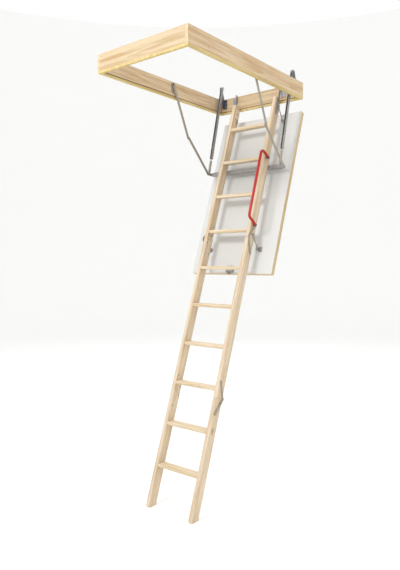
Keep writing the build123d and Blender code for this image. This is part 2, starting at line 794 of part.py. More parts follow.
for name, bolt in (("upper_hatch_links", upper_link_bolt), ("lower_hatch_links", lower_link_bolt)):
    with BuildPart() as hatch_links:
        # Flat links between the stiles and the hatch, one on each side.
        pin = (bolt[0] + link_along, bolt[1] + link_front)
        for side in (-1, 1):
            with BuildSketch(ladder_side(start_of(side, link_inner, link_outer))):
                middle, length, turn = between(bolt, pin)
                with Locations(middle):
                    SlotCenterToCenter(length, link_width, rotation=turn)
                with Locations(bolt):
                    Circle(pin_hole, mode=Mode.SUBTRACT)
            extrude(amount=link_thickness)
    finish(hatch_links, name)

case_length = 46.0
case_width = 56.0
case_thickness = 16.0
bolt_length = 60.0
case_start = hatch_end - case_length - 4.0

with BuildPart() as latch_case:
    # Box over the latch bolt, open at the end that faces the strike.
    with BuildSketch(ladder_face(hatch_face)):
        with Locations((0, -case_start - case_length / 2)):
            Rectangle(case_width, case_length)
    extrude(amount=case_thickness)
    with BuildSketch(ladder_face(latch_front - bolt_thickness / 2 - bolt_slack / 2)):
        with Locations((0, -case_start - case_length / 2)):
            Rectangle(bolt_width + bolt_slack, case_length + 2)
    extrude(amount=bolt_thickness + bolt_slack, mode=Mode.SUBTRACT)
finish(latch_case, "latch_case")

with BuildPart() as latch_bolt:
    with BuildSketch(ladder_face(latch_front - bolt_thickness / 2)):
        with Locations((0, -(hatch_end + bolt_throw - bolt_length / 2))):
            Rectangle(bolt_width, bolt_length)
    extrude(amount=bolt_thickness)
finish(latch_bolt, "latch_bolt")

# ---- folding stays ------------------------------------------------------------------------------------
with BuildPart() as upper_stays:
    for side in (-1, 1):
        with BuildSketch(upright_side(start_of(side, upper_stay_inner, upper_stay_outer))):
            middle, length, turn = between(stay_head, stay_knee)
            with Locations(middle):
                SlotCenterToCenter(length, stay_width, rotation=turn)
            with Locations(stay_head):
                Circle(pin_hole, mode=Mode.SUBTRACT)
        extrude(amount=link_thickness)
        with Locations(upright_spot(side, stay_knee, upper_stay_outer, upper_stay_outer + 1.5)):
            Cylinder(head_radius, 1.5, align=centred)
finish(upper_stays, "upper_stays")

with BuildPart() as lower_stays:
    for side in (-1, 1):
        with BuildSketch(upright_side(start_of(side, lower_stay_inner, lower_stay_outer))):
            middle, length, turn = between(stay_foot, stay_knee)
            with Locations(middle):
                SlotCenterToCenter(length, stay_width, rotation=turn)
            with Locations(stay_foot):
                Circle(pin_hole, mode=Mode.SUBTRACT)
        extrude(amount=link_thickness)
        with Locations(upright_spot(side, stay_knee, lower_stay_inner - 1.5, lower_stay_inner)):
            Cylinder(head_radius, 1.5, align=centred)
finish(lower_stays, "lower_stays")

# ---- spring arms --------------------------------------------------------------------------------------
spring_radius = 5.4
spring_bore = 3.8
arm_end_plate = 4.0
arm_back_end = -12.0
spring_stop = arm_stop

with BuildPart() as spring_arms:
    # Channels that face the front. The spring bears on the cross plate inside, and the rod's end block
    # runs between the side walls below it.
    for side in (-1, 1):
        with BuildSketch(arm_side(start_of(side, arm_inner, arm_outer))):
            with Locations(((arm_back_end + arm_length) / 2, 0)):
                Rectangle(arm_length - arm_back_end, arm_depth)
        extrude(amount=arm_width)
        channel_inner = arm_inner + arm_sheet
        channel_outer = arm_outer - arm_sheet
        with BuildSketch(arm_side(start_of(side, channel_inner, channel_outer))):
            with Locations(((arm_back_end - 2 + spring_stop) / 2, arm_sheet)):
                Rectangle(spring_stop - arm_back_end + 2, arm_depth)
        extrude(amount=channel_outer - channel_inner, mode=Mode.SUBTRACT)
        low_start = spring_stop + arm_end_plate
        with BuildSketch(arm_side(start_of(side, channel_inner, channel_outer))):
            with Locations(((low_start + arm_length + 2) / 2, arm_sheet)):
                Rectangle(arm_length + 2 - low_start, arm_depth)
        extrude(amount=channel_outer - channel_inner, mode=Mode.SUBTRACT)
        with Locations(upright_spot(side, arm_pivot, arm_inner, arm_outer)):
            Cylinder(pin_hole, arm_width, align=centred, mode=Mode.SUBTRACT)
        with BuildSketch(arm_section(side * arm_middle, spring_stop)):
            Circle(rod_radius + 0.5)
        extrude(amount=arm_end_plate, mode=Mode.SUBTRACT)
finish(spring_arms, "spring_arms")

with BuildPart() as arm_springs:
    # Outer shape of the coil springs, pressed between the rod's washer and the arm's end plate.
    for side in (-1, 1):
        with BuildSketch(arm_section(side * arm_middle, spring_stop - spring_length)):
            Circle(spring_radius)
            Circle(spring_bore, mode=Mode.SUBTRACT)
        extrude(amount=spring_length)
finish(arm_springs, "arm_springs")

with BuildPart() as spring_rods:
    # Pull rods with a washer above the spring and a flat end block beside the crossbar's stud.
    washer_thickness = 3.0
    block_start = rod_reach - rod_block_length
    rod_start = spring_stop - spring_length - washer_thickness - 4
    for side in (-1, 1):
        with BuildSketch(arm_section(side * arm_middle, rod_start)):
            Circle(rod_radius)
        extrude(amount=block_start - rod_start)
        with BuildSketch(arm_section(side * arm_middle, spring_stop - spring_length - washer_thickness)):
            Circle(spring_radius)
        extrude(amount=washer_thickness)
        block_inner = arm_middle - rod_block_width / 2
        with BuildSketch(arm_side(start_of(side, block_inner, rod_block_outer))):
            with Locations(((block_start + rod_reach) / 2, 0)):
                Rectangle(rod_block_length, rod_block_depth)
            with Locations((rod_reach, 0)):
                Circle(rod_block_depth / 2)
        extrude(amount=rod_block_width)
finish(spring_rods, "spring_rods")
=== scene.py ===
import json
import math

import bmesh
import bpy
import numpy as np
from mathutils import Matrix, Vector


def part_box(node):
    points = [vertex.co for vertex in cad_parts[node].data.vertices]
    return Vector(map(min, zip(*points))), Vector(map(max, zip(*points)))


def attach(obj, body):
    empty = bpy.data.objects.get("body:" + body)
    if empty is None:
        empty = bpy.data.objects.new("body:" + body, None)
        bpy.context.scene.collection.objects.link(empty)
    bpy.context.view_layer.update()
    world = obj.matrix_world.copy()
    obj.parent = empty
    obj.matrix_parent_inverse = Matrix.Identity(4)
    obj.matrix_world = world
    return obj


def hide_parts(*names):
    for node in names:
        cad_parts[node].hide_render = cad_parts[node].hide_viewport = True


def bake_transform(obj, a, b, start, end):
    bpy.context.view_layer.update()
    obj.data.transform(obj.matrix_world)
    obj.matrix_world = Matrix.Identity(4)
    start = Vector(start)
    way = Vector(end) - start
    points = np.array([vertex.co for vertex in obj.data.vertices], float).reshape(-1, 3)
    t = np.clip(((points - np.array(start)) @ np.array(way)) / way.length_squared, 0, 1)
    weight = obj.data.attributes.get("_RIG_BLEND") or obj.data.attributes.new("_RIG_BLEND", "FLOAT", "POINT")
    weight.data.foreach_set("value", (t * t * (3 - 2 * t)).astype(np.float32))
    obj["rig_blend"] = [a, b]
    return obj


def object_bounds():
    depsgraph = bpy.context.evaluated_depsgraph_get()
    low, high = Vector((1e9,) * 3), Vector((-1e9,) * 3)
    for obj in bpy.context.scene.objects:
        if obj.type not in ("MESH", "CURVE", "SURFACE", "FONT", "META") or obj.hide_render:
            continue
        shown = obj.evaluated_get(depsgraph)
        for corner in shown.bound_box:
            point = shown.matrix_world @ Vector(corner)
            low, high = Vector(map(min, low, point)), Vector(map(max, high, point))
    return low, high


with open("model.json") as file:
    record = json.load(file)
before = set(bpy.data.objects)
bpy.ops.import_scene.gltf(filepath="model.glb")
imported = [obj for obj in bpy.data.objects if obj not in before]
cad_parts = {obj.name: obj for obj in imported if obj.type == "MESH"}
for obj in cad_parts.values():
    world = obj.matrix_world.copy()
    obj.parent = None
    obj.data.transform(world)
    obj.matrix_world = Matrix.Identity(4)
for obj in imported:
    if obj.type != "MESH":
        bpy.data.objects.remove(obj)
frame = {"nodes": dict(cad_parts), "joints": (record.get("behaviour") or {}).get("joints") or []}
cad_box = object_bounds()

# ---- Hatch frame boards -------------------------------------------------------------------------------
# Four planed pine boards, screwed at the corners, with a narrow strip of the same timber glued below.
# The boards are sawn square and their edges are only broken with sandpaper.
MM = 0.001


def linear(hex_colour):
    """Linear RGBA of an sRGB hex colour, by the sRGB curve."""
    parts = np.array([int(hex_colour[i : i + 2], 16) / 255 for i in (1, 3, 5)])
    curve = np.where(parts <= 0.04045, parts / 12.92, ((parts + 0.055) / 1.055) ** 2.4)
    return (*curve.tolist(), 1.0)


def add_node(tree, kind, links=None, **settings):
    """Adds a node. Settings are its properties or, by input name, its values; links feed its inputs."""
    node = tree.nodes.new(kind)
    for key, value in settings.items():
        if hasattr(node, key):
            setattr(node, key, value)
        else:
            node.inputs[key.replace("_", " ")].default_value = value
    for key, source in (links or {}).items():
        tree.links.new(source, node.inputs[key])
    return node


def new_material(name):
    """A new material with its node tree and its main shader."""
    material = bpy.data.materials.new(name)
    material.use_nodes = True
    return material, material.node_tree, material.node_tree.nodes["Principled BSDF"]


def planed_pine(name, pale, dark, knot, turn=(0, 0, 0), offset=0.0):
    """Planed, unvarnished pine: pale early wood, darker growth lines along the board and a few knots.
    The pattern runs along local X after the turn. Growth lines are drawn about 9 mm apart."""
    growth = 9 * MM
    fibre = 1.2 * MM
    stretch = 22.0
    knot_spacing = 260 * MM
    material, tree, shader = new_material(name)
    place = add_node(tree, "ShaderNodeTexCoord")
    turned = add_node(
        tree, "ShaderNodeMapping", {"Vector": place.outputs["Object"]}, Rotation=turn,
        Location=(offset, offset * 0.37, offset * 0.61),
    )
    long_way = add_node(
        tree, "ShaderNodeMapping", {"Vector": turned.outputs["Vector"]}, Scale=(1 / stretch, 1, 1)
    )
    lines = add_node(
        tree, "ShaderNodeTexNoise", {"Vector": long_way.outputs["Vector"]}, Scale=0.5 / growth, Detail=3.0,
        Roughness=0.55, Distortion=0.6,
    )
    fibres = add_node(
        tree, "ShaderNodeTexNoise", {"Vector": long_way.outputs["Vector"]}, Scale=0.5 / fibre, Detail=2.0
    )
    tone = add_node(tree, "ShaderNodeValToRGB", {"Fac": lines.outputs["Fac"]})
    tone.color_ramp.elements[0].position = 0.34
    tone.color_ramp.elements[0].color = linear(dark)
    tone.color_ramp.elements[1].position = 0.60
    tone.color_ramp.elements[1].color = linear(pale)
    grain = add_node(tree, "ShaderNodeMix", data_type="RGBA", blend_type="MULTIPLY")
    fibre_tone = add_node(tree, "ShaderNodeValToRGB", {"Fac": fibres.outputs["Fac"]})
    fibre_tone.color_ramp.elements[0].position = 0.30
    fibre_tone.color_ramp.elements[0].color = (0.90, 0.88, 0.85, 1)
    fibre_tone.color_ramp.elements[1].position = 0.65
    fibre_tone.color_ramp.elements[1].color = (1, 1, 1, 1)
    grain.inputs["Factor"].default_value = 1.0
    tree.links.new(tone.outputs["Color"], grain.inputs[6])
    tree.links.new(fibre_tone.outputs["Color"], grain.inputs[7])
    oval = add_node(
        tree, "ShaderNodeMapping", {"Vector": turned.outputs["Vector"]}, Scale=(0.55, 1, 1)
    )
    knots = add_node(
        tree, "ShaderNodeTexVoronoi", {"Vector": oval.outputs["Vector"]}, Scale=1 / knot_spacing
    )
    knot_mask = add_node(tree, "ShaderNodeValToRGB", {"Fac": knots.outputs["Distance"]})
    knot_mask.color_ramp.elements[0].position = 0.035
    knot_mask.color_ramp.elements[0].color = (1, 1, 1, 1)
    knot_mask.color_ramp.elements[1].position = 0.075
    knot_mask.color_ramp.elements[1].color = (0, 0, 0, 1)
    knotted = add_node(tree, "ShaderNodeMix", data_type="RGBA")
    tree.links.new(knot_mask.outputs["Color"], knotted.inputs["Factor"])
    tree.links.new(grain.outputs[2], knotted.inputs[6])
    knotted.inputs[7].default_value = linear(knot)
    tree.links.new(knotted.outputs[2], shader.inputs["Base Color"])
    bump = add_node(
        tree, "ShaderNodeBump", {"Height": lines.outputs["Fac"]}, Strength=0.12, Distance=0.3 * MM
    )
    tree.links.new(bump.outputs["Normal"], shader.inputs["Normal"])
    shader.inputs["Roughness"].default_value = 0.58
    shader.inputs["Specular IOR Level"].default_value = 0.35
    return material


def finish_piece(piece, material, body, slot, *nodes):
    """Gives a piece its material and body, and hides the CAD nodes it stands for."""
    piece.data.materials.clear()
    piece.data.materials.append(material)
    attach(piece, body)
    if nodes:
        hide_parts(*nodes)
    return piece


def softened(node, name, edge, material, body, slot):
    """A copy of a CAD node with its loose triangles merged and every sharp edge rounded to a radius."""
    mesh = frame["nodes"][node].data.copy()
    mesh.name = name
    piece = bpy.data.objects.new(name, mesh)
    bpy.context.collection.objects.link(piece)
    work = bmesh.new()
    work.from_mesh(mesh)
    bmesh.ops.remove_doubles(work, verts=work.verts, dist=0.002 * MM)
    bmesh.ops.dissolve_limit(work, angle_limit=math.radians(1), verts=work.verts, edges=work.edges)
    bmesh.ops.recalc_face_normals(work, faces=work.faces)
    work.to_mesh(mesh)
    work.free()
    for attribute in list(mesh.attributes):
        if attribute.name.startswith("custom_normal"):
            mesh.attributes.remove(attribute)
    mesh.shade_smooth()
    bevel = piece.modifiers.new("edge", "BEVEL")
    bevel.width = edge
    bevel.segments = 2
    bevel.limit_method = "ANGLE"
    bevel.angle_limit = math.radians(35)
    piece.modifiers.new("even shading", "WEIGHTED_NORMAL")
    return finish_piece(piece, material, body, slot, node)


ALONG_X = (0, 0, 0)
ALONG_Y = (0, 0, math.radians(90))
long_board_pine = planed_pine("planed pine, long boards", "#DCC6A6", "#C4A37A", "#7A5636", ALONG_X, 0.7)
end_board_pine = planed_pine("planed pine, end boards", "#CDB999", "#B59870", "#7A5636", ALONG_Y, 2.2)
lip_pine = planed_pine("planed pine, bottom strip", "#D8C489", "#BFA569", "#9A7C4C", ALONG_X, 4.1)
board_edge = 0.8 * MM

for node in ("wall_left", "wall_right"):
    softened(node, f"{node}_board", board_edge, long_board_pine, "frame", "frame_pine")
for node in ("wall_hinge_end", "wall_free_end"):
    softened(node, f"{node}_board", board_edge, end_board_pine, "frame", "frame_pine")
softened("bottom_lip", "bottom_strip", board_edge, lip_pine, "frame", "lip_wood")


# ---- Gasket -------------------------------------------------------------------------------------------
# Brown foam-rubber seal pressed into the boards' rebate. It is extruded with a rounded bulb towards
# the opening and is cut square at the corners.
def surface(points, close_v=False, caps=True):
    """A mesh from a grid of points (rows along v, columns round u), with flat ends where v is open."""
    rows, columns = points.shape[:2]
    index = np.arange(rows * columns).reshape(rows, columns)
    next_v = np.roll(index, -1, axis=0) if close_v else index[1:]
    this_v = index if close_v else index[:-1]
    quads = np.stack([this_v, np.roll(this_v, -1, axis=1), np.roll(next_v, -1, axis=1), next_v], axis=-1)
    faces = quads.reshape(-1, 4).tolist()
    if caps and not close_v:
        faces.append(index[0][::-1].tolist())
        faces.append(index[-1].tolist())
    return points.reshape(-1, 3), faces


def mesh_piece(name, parts):
    """One object from several (points, faces) parts, with its faces turned outwards."""
    points, faces, start = [], [], 0
    for part_points, part_faces in parts:
        points.append(part_points)
        faces += [[corner + start for corner in face] for face in part_faces]
        start += len(part_points)
    mesh = bpy.data.meshes.new(name)
    mesh.from_pydata(np.concatenate(points).tolist(), [], faces)
    work = bmesh.new()
    work.from_mesh(mesh)
    bmesh.ops.recalc_face_normals(work, faces=work.faces)
    work.to_mesh(mesh)
    work.free()
    piece = bpy.data.objects.new(name, mesh)
    bpy.context.collection.objects.link(piece)
    mesh.shade_smooth()
    mesh.set_sharp_from_angle(angle=math.radians(40))
    return piece


def plain_material(name, colour, roughness, metallic=0.0, mottle=0.0, mottle_size=12 * MM):
    """One even colour, with a faint cloudy change of tone where mottle is above nothing."""
    material, tree, shader = new_material(name)
    shader.inputs["Roughness"].default_value = roughness
    shader.inputs["Metallic"].default_value = metallic
    if mottle == 0:
        shader.inputs["Base Color"].default_value = linear(colour)
        return material
    place = add_node(tree, "ShaderNodeTexCoord")
    cloud = add_node(
        tree, "ShaderNodeTexNoise", {"Vector": place.outputs["Object"]}, Scale=0.5 / mottle_size, Detail=4.0
    )
    tone = add_node(tree, "ShaderNodeValToRGB", {"Fac": cloud.outputs["Fac"]})
    base = np.array(linear(colour))
    tone.color_ramp.elements[0].position = 0.3
    tone.color_ramp.elements[0].color = (*(base[:3] * (1 - mottle)).tolist(), 1)
    tone.color_ramp.elements[1].position = 0.7
    tone.color_ramp.elements[1].color = (*np.minimum(base[:3] * (1 + mottle), 1).tolist(), 1)
    tree.links.new(tone.outputs["Color"], shader.inputs["Base Color"])
    return material


# Foam rubber is matt and takes light softly, with no shine at all.
foam_rubber = plain_material("brown foam rubber", "#5A4023", 0.9)
low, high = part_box("hatch_gasket")
gasket_middle_z = (low.z + high.z) / 2
gasket_half = (high.z - low.z) / 2
gasket_depth = 3.5 * MM
turn = np.linspace(-np.pi / 2, np.pi / 2, 9)
bulb = np.stack([gasket_depth - gasket_half + gasket_half * np.cos(turn), gasket_half * np.sin(turn)], 1)
section = np.concatenate([[[0, -gasket_half]], bulb, [[0, gasket_half]]])
corner_signs = np.array([(1, 1), (-1, 1), (-1, -1), (1, -1)])
half_size = np.array([high.x, high.y])
ring = np.empty((4, len(section), 3))
ring[:, :, :2] = corner_signs[:, None, :] * (half_size - section[None, :, :1])
ring[:, :, 2] = gasket_middle_z + section[:, 1]
gasket = mesh_piece("seal", [surface(ring, close_v=True)])
finish_piece(gasket, foam_rubber, "frame", "gasket_rubber", "hatch_gasket")


# ---- Brackets, pins and screws of the frame -----------------------------------------------------------
# Pressed steel: blue-grey zinc on the main hinge plates, darker zinc on the tall arm brackets and
# yellow-grey zinc on the stay strips. All are held with domed wood screws.
def zinc_plate(name, colour, roughness):
    """Zinc-plated mild steel: a soft grey metal with faint clouds from the plating bath."""
    return plain_material(name, colour, roughness, metallic=0.45, mottle=0.12, mottle_size=9 * MM)


blue_zinc = zinc_plate("blue zinc plate", "#8A94A8", 0.42)
dark_zinc = zinc_plate("dark zinc plate", "#66646A", 0.45)
yellow_zinc = zinc_plate("yellow zinc plate", "#A09A8C", 0.42)
grey_zinc = zinc_plate("grey zinc plate", "#9A9896", 0.42)
plate_edge = 0.5 * MM
SIDES = (("left", -1), ("right", 1))

for side_name, side in SIDES:
    for node, material, slot in (
        ("hinge_bracket", blue_zinc, "plate_steel"),
        ("arm_bracket", dark_zinc, "dark_steel"),
        ("stay_bracket", yellow_zinc, "zinc_steel"),
    ):
        full = f"{node}_{side_name}"
        softened(full, f"{full}_plate", plate_edge, material, "frame", slot)


def turned_part(centre, axis, profile, steps=20):
    """Surface of revolution: profile rows are (height, radius), turned round the axis at the centre."""
    axis = Vector(axis).normalized()
    across = axis.orthogonal().normalized()
    third = axis.cross(across)
    angle = np.arange(steps) * 2 * np.pi / steps
    ring_directions = np.cos(angle)[:, None] * np.array(across) + np.sin(angle)[:, None] * np.array(third)
    profile = np.array(profile)
    points = (
        np.array(centre)
        + profile[:, 0, None, None] * np.array(axis)
        + profile[:, 1, None, None] * ring_directions[None]
    )
    return surface(points)


def domed_head(centre, axis, radius, height):
    """A low dome: a quarter turn of an ellipse, from the rim to a small flat crown."""
    angle = np.linspace(0, np.pi / 2 * 0.93, 6)
    rows = np.stack([height * np.sin(angle), radius * np.cos(angle)], 1)
    return turned_part(centre, axis, np.concatenate([[[0, radius * 0.98]], rows]))


def hex_nut(centre, axis, radius, height):
    """A six-sided nut with a short stub of the bolt standing out of it."""
    nut = turned_part(centre, axis, [(0, radius), (height, radius)], steps=6)
    stub_rows = [(height * 0.9, radius * 0.5), (height * 1.5, radius * 0.5), (height * 1.6, radius * 0.4)]
    return [nut, turned_part(centre, axis, stub_rows)]


joint_places = {joint["name"]: Vector(joint["pos_m"]) for joint in frame["joints"] if "pos_m" in joint}
screw_radius = 4.5 * MM
screw_height = 2.2 * MM
plate_thickness = 3 * MM
hinge_screw_heights = (12 * MM, 30 * MM, 48 * MM)
hinge_screw_shifts = (-8 * MM, 9 * MM)
hinge_screw_inset = 16 * MM
arm_screw_heights = (14 * MM, 40 * MM, 66 * MM)
arm_screw_inset = 12 * MM
stay_screw_heights = (12 * MM, 40 * MM)
frame_screws = []
for side_name, side in SIDES:
    low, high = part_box(f"hinge_bracket_{side_name}")
    middle_y = side * (max(abs(low.y), abs(high.y)) - hinge_screw_inset)
    for height in hinge_screw_heights:
        for shift in hinge_screw_shifts:
            centre = (low.x + plate_thickness, middle_y + side * shift, low.z + height)
            frame_screws.append(domed_head(centre, (1, 0, 0), screw_radius, screw_height))
    low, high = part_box(f"arm_bracket_{side_name}")
    inner_y = min(abs(low.y), abs(high.y))
    for height in arm_screw_heights:
        centre = (low.x + plate_thickness, side * (inner_y + arm_screw_inset), low.z + height)
        frame_screws.append(domed_head(centre, (1, 0, 0), screw_radius, screw_height))
    low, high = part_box(f"stay_bracket_{side_name}")
    face_y = side * min(abs(low.y), abs(high.y))
    for height in stay_screw_heights:
        centre = ((low.x + high.x) / 2, face_y, low.z + height)
        frame_screws.append(domed_head(centre, (0, -side, 0), screw_radius, screw_height))
pivot_heads = []
pivot_head_radius = 10 * MM
pivot_head_height = 3 * MM
arm_pin = joint_places["arm_swing"]
stay_pin = joint_places["upper_stay_swing"]
stay_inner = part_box("upper_stays")[1].y - 5.5 * MM
for side_name, side in SIDES:
    low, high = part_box(f"arm_bracket_{side_name}")
    arm_outer = max(abs(low.y), abs(high.y))
    for pin, y, way in ((arm_pin, arm_outer, side), (stay_pin, stay_inner, -side)):
        centre = (pin.x, side * y, pin.z)
        pivot_heads.append(domed_head(centre, (0, way, 0), pivot_head_radius, pivot_head_height))
heads = mesh_piece("pivot_rivet_heads", pivot_heads)
finish_piece(heads, dark_zinc, "frame", "dark_steel")
screws = mesh_piece("frame_screw_heads", frame_screws)
finish_piece(screws, yellow_zinc, "frame", "zinc_steel")


def keep_node(node, material):
    """Shows a CAD node as it is, in a new material."""
    mesh = frame["nodes"][node].data
    mesh.materials.clear()
    mesh.materials.append(material)


for node in ("frame_pins", "corner_screws", "strike_plate", "link_pins"):
    keep_node(node, yellow_zinc)

# ---- Stiles -------------------------------------------------------------------------------------------
# Planed pine, 25 x 65, with generously rounded edges where hands run along them. Each section is a
# separate length, cut square at the hinges.
SLOPE = math.radians(70.4)
down = Vector((math.cos(SLOPE), 0, -math.sin(SLOPE)))
front = Vector((math.sin(SLOPE), 0, math.cos(SLOPE)))
ALONG_LADDER = (0, -SLOPE, 0)
stile_edge = 3 * MM

for index, section_name in enumerate(("top", "middle", "bottom")):
    for side_name, side in SIDES:
        stile_pine = planed_pine(
            f"planed pine, {section_name} {side_name} stile", "#DDCCB4", "#C6AD8C", "#8E6C48",
            ALONG_LADDER, 1.3 * index + 0.45 * side,
        )
        node = f"stile_{section_name}_{side_name}"
        softened(node, f"{node}_timber", stile_edge, stile_pine, f"ladder_{section_name}", "stile_wood")

# ---- Treads -------------------------------------------------------------------------------------------
# Ten flat pine treads let into the stiles. Their long edges are rounded over, and the top is planed
# smooth with the grain running from stile to stile.
tread_sections = {"top": (1, 2, 3, 4), "middle": (5, 6, 7, 8), "bottom": (9, 10)}
round_over = 5 * MM


def rounded_rectangle(half_width, half_height, radius, steps=6):
    """Points round a rectangle with quarter-circle corners, counter-clockwise."""
    quarter = np.linspace(0, np.pi / 2, steps)
    corners = []
    for turn_index, (sx, sy) in enumerate(((1, 1), (-1, 1), (-1, -1), (1, -1))):
        angle = quarter + turn_index * np.pi / 2
        centre = np.array([sx * (half_width - radius), sy * (half_height - radius)])
        corners.append(centre + radius * np.stack([np.cos(angle), np.sin(angle)], 1))
    return np.concatenate(corners)


for section_name, numbers in tread_sections.items():
    for number in numbers:
        low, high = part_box(f"tread_{number}")
        outline = rounded_rectangle((high.x - low.x) / 2, (high.z - low.z) / 2, round_over)
        ends = np.array([low.y, high.y])
        points = np.empty((2, len(outline), 3))
        points[:, :, 0] = (low.x + high.x) / 2 + outline[:, 0]
        points[:, :, 1] = ends[:, None]
        points[:, :, 2] = (low.z + high.z) / 2 + outline[:, 1]
        tread_pine = planed_pine(
            f"planed pine, tread {number}", "#E0D0B6", "#CCB591", "#8E6C48", ALONG_Y, 0.83 * number
        )
        tread = mesh_piece(f"tread_{number}_timber", [surface(points)])
        finish_piece(tread, tread_pine, f"ladder_{section_name}", "tread_wood", f"tread_{number}")

# ---- Top straps, crossbar and its lugs ----------------------------------------------------------------
# Flat zinc-plated straps carry the top section on the main pivots. The crossbar is a pressed channel
# with pinched ends, and its end plates are welded on.
for side_name, side in SIDES:
    softened(f"top_strap_{side_name}", f"top_strap_{side_name}_plate", plate_edge, grey_zinc, "ladder_top",
             "dark_steel")
    softened(f"crossbar_lug_{side_name}", f"crossbar_lug_{side_name}_plate", plate_edge, grey_zinc,
             "ladder_top", "dark_steel")
softened("crossbar", "crossbar_channel", 1.0 * MM, grey_zinc, "ladder_top", "dark_steel")

# ---- Section hinges -----------------------------------------------------------------------------------
# Flat steel leaves cross each joint on the outside of the stiles. Carriage bolts hold them, with domed
# heads inside the stiles and nuts over the leaves.
for fold, above, below in (("upper", "top", "middle"), ("lower", "middle", "bottom")):
    softened(f"{fold}_hinge_leaf_above", f"{fold}_hinge_upper_leaf", plate_edge, yellow_zinc,
             f"ladder_{above}", "dark_steel")
    softened(f"{fold}_hinge_leaf_below", f"{fold}_hinge_lower_leaf", plate_edge, yellow_zinc,
             f"ladder_{below}", "dark_steel")

stile_inner = 160 * MM
stile_outer = 185 * MM
leaf_outer = 188 * MM
packed_leaf_outer = 191.2 * MM
leaf_reach = 100 * MM
leaf_rise = 53 * MM
near_bolt = 32 * MM
bolt_head = 6.5 * MM
bolt_head_height = 2.5 * MM
nut_size = 6.0 * MM
nut_height = 2.0 * MM
rivet_height = 2.0 * MM


def on_ladder(joint, along, out, y):
    """A point given by its distance down the slope and out to the front of a joint's pin."""
    place = joint_places[joint] + down * along + front * out
    return (place.x, y, place.z)


def leaf_places(joint, way, back):
    """The near and far bolt of a leaf that leaves the pin upwards (-1) or downwards (1)."""
    reach = math.hypot(leaf_reach, leaf_rise)
    share = near_bolt / reach
    return [
        (joint, way * leaf_reach * share, back * leaf_rise * share),
        (joint, way * leaf_reach, back * leaf_rise),
    ]


main = joint_places["ladder_fold"]
pin_along, pin_out = 128.6 * MM, 21.3 * MM
strap_bolt_shifts = (-24 * MM, 66 * MM)
strap_bolt_out = pin_out - 32 * MM
strap_places = [("ladder_fold", pin_along + shift, strap_bolt_out) for shift in strap_bolt_shifts]
bolt_groups = {
    "top": [(place, leaf_outer) for place in strap_places + leaf_places("middle_fold", -1, -1)],
    "middle": [(place, packed_leaf_outer) for place in leaf_places("middle_fold", 1, -1)]
    + [(place, leaf_outer) for place in leaf_places("bottom_fold", -1, 1)],
    "bottom": [(place, packed_leaf_outer) for place in leaf_places("bottom_fold", 1, 1)],
}
rivets = {"top": "middle_fold", "middle": "bottom_fold"}

for section_name, places in bolt_groups.items():
    parts = []
    for side_name, side in SIDES:
        for (joint, along, out), outer in places:
            inside = on_ladder(joint, along, out, side * stile_inner)
            outside = on_ladder(joint, along, out, side * outer)
            parts.append(domed_head(inside, (0, -side, 0), bolt_head, bolt_head_height))
            parts += hex_nut(outside, (0, side, 0), nut_size, nut_height)
        if section_name in rivets:
            pin = on_ladder(rivets[section_name], 0, 0, side * packed_leaf_outer)
            parts.append(domed_head(pin, (0, side, 0), bolt_head, rivet_height))
    bolts = mesh_piece(f"bolts_{section_name}_section", parts)
    finish_piece(bolts, yellow_zinc, f"ladder_{section_name}", "zinc_steel", f"bolts_{section_name}")

# ---- Handrail -----------------------------------------------------------------------------------------
# Bowed steel tube, powder coated signal red. Its ends are pressed flat and bolted to the right stile
# over short spacers.
tube_radius = 9.0 * MM
flat_half_thickness = 3.0 * MM
flat_half_width = 12.0 * MM
flat_length = 16
flare_length = 20
end_length = 40
spacer_radius = 7 * MM
rail_head_radius = 7.5 * MM
rail_head_height = 4 * MM
rail_low, rail_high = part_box("handrail")
rail_y = (rail_low.y + rail_high.y) / 2
bend_radius = 26 * MM
# Corners of the rail's middle line, in millimetres down the slope and out to the front.
rail_corners = [(428, -34), (414, 73), (897, 65), (923, -38)]
ladder_origin = main + down * pin_along + front * pin_out


def rounded_path(corners, radius, steps=9):
    """Points along straight runs joined by arcs of one radius, each arc touching both its runs."""
    corners = np.array(corners, float)
    path = [corners[0]]
    for before, corner, after in zip(corners, corners[1:], corners[2:]):
        back = (before - corner) / np.linalg.norm(before - corner)
        ahead = (after - corner) / np.linalg.norm(after - corner)
        half = math.acos(np.clip(back @ ahead, -1, 1)) / 2
        centre = corner + (back + ahead) / np.linalg.norm(back + ahead) * radius / math.sin(half)
        start = corner + back * radius / math.tan(half) - centre
        end = corner + ahead * radius / math.tan(half) - centre
        turn = math.atan2(start[0] * end[1] - start[1] * end[0], start @ end)
        for angle in np.linspace(0, turn, steps):
            spin = np.array([[math.cos(angle), -math.sin(angle)], [math.sin(angle), math.cos(angle)]])
            path.append(centre + spin @ start)
    path.append(corners[-1])
    return np.array(path)


def tube_in_plane(path, y, across, through, steps=20):
    """Tube along a path of world (x, z) points at one y. across and through are its half sizes at each
    point: in the path's plane and along Y."""
    tangent = np.gradient(path, axis=0)
    tangent /= np.linalg.norm(tangent, axis=1)[:, None]
    normal = np.stack([-tangent[:, 1], tangent[:, 0]], 1)
    angle = np.arange(steps) * 2 * np.pi / steps
    points = np.empty((len(path), steps, 3))
    points[:, :, (0, 2)] = path[:, None] + (across[:, None] * np.cos(angle))[:, :, None] * normal[:, None]
    points[:, :, 1] = y + through[:, None] * np.sin(angle)
    return surface(points)


def ladder_path(points):
    """World (x, z) of ladder places given in millimetres down the slope and out to the front."""
    points = np.array(points) * MM
    to_world = np.array([[down.x, down.z], [front.x, front.z]])
    return points @ to_world + np.array([ladder_origin.x, ladder_origin.z])


